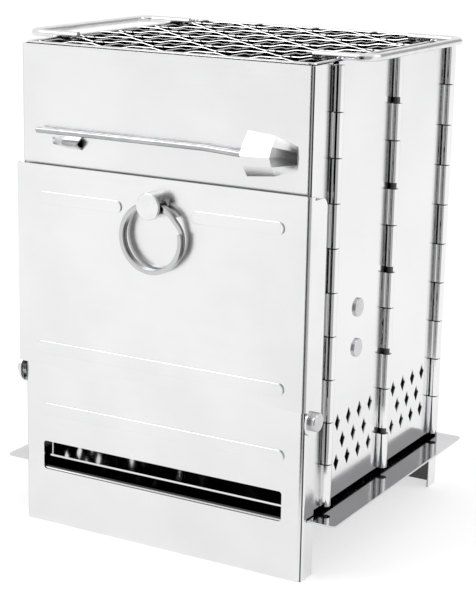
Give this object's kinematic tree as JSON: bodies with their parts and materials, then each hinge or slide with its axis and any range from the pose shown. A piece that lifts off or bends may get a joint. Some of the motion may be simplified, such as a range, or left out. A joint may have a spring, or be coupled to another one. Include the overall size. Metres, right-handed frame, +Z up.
{
  "type": "camping wood stove",
  "caption": "Box-shaped folding wood stove in stainless sheet, with hinged side leaves, a fuel door with a ring pull, a fire grate and a lift-off mesh grill.",
  "frame": {"origin": "middle of the bounding box, on the ground", "axes": "+Z up, -Y out of the front with the fuel door, +X to the right seen from the front"},
  "size_m": [0.157, 0.1408, 0.2016],
  "materials": {
    "pressed_sheet": "bright rolled stainless sheet",
    "mirror_sheet": "mirror rolled stainless sheet",
    "grate_sheet": "plain stainless sheet",
    "woven_mesh": "crimped stainless wire, woven",
    "drawn_wire": "drawn stainless wire",
    "pins_and_rivets": "plain stainless",
    "polished_fittings": "polished stainless"
  },
  "bodies": {
    "shell": {"front_panel": "pressed_sheet", "back_panel": "pressed_sheet", "bottom_plate": "mirror_sheet", "right_front_leaf": "pressed_sheet", "right_rear_leaf": "pressed_sheet", "right_front_hinge_pin": "pins_and_rivets", "right_middle_hinge_pin": "pins_and_rivets", "right_back_hinge_pin": "pins_and_rivets", "right_leaf_stay": "pressed_sheet", "right_leaf_rivets": "pins_and_rivets", "right_door_pivot": "pins_and_rivets", "left_front_leaf": "pressed_sheet", "left_rear_leaf": "pressed_sheet", "left_front_hinge_pin": "pins_and_rivets", "left_middle_hinge_pin": "pins_and_rivets", "left_back_hinge_pin": "pins_and_rivets", "left_leaf_stay": "pressed_sheet", "left_leaf_rivets": "pins_and_rivets", "left_door_pivot": "pins_and_rivets"},
    "door": {"fuel_door": "pressed_sheet", "ring_knob": "polished_fittings"},
    "ring": {"pull_ring": "polished_fittings"},
    "rod": {"lifting_rod": "drawn_wire"},
    "grate": {"fire_grate": "grate_sheet"},
    "grill": {"grill_mesh": "woven_mesh", "right_grill_handle": "drawn_wire", "left_grill_handle": "drawn_wire"}
  },
  "joints": [
    {"name": "door_hinge", "type": "hinge", "parent": "shell", "child": "door", "pos_m": [0, -0.0575, 0.0646], "axis": [1, 0, 0], "range_deg": [0, 90]},
    {"name": "ring_swing", "type": "hinge", "parent": "door", "child": "ring", "pos_m": [0, -0.0672, 0.1414], "axis": [-1, 0, 0], "range_deg": [0, 120]},
    {"name": "rod_withdraw", "type": "slide", "parent": "shell", "child": "rod", "axis": [-1, 0, 0], "range_m": [0, 0.02]},
    {"name": "grate_lift", "type": "slide", "parent": "shell", "child": "grate", "axis": [0, 0, 1], "range_m": [0, 0.15]},
    {"name": "grill_lift", "type": "slide", "parent": "shell", "child": "grill", "axis": [0, 0, 1], "range_m": [0, 0.06]}
  ]
}
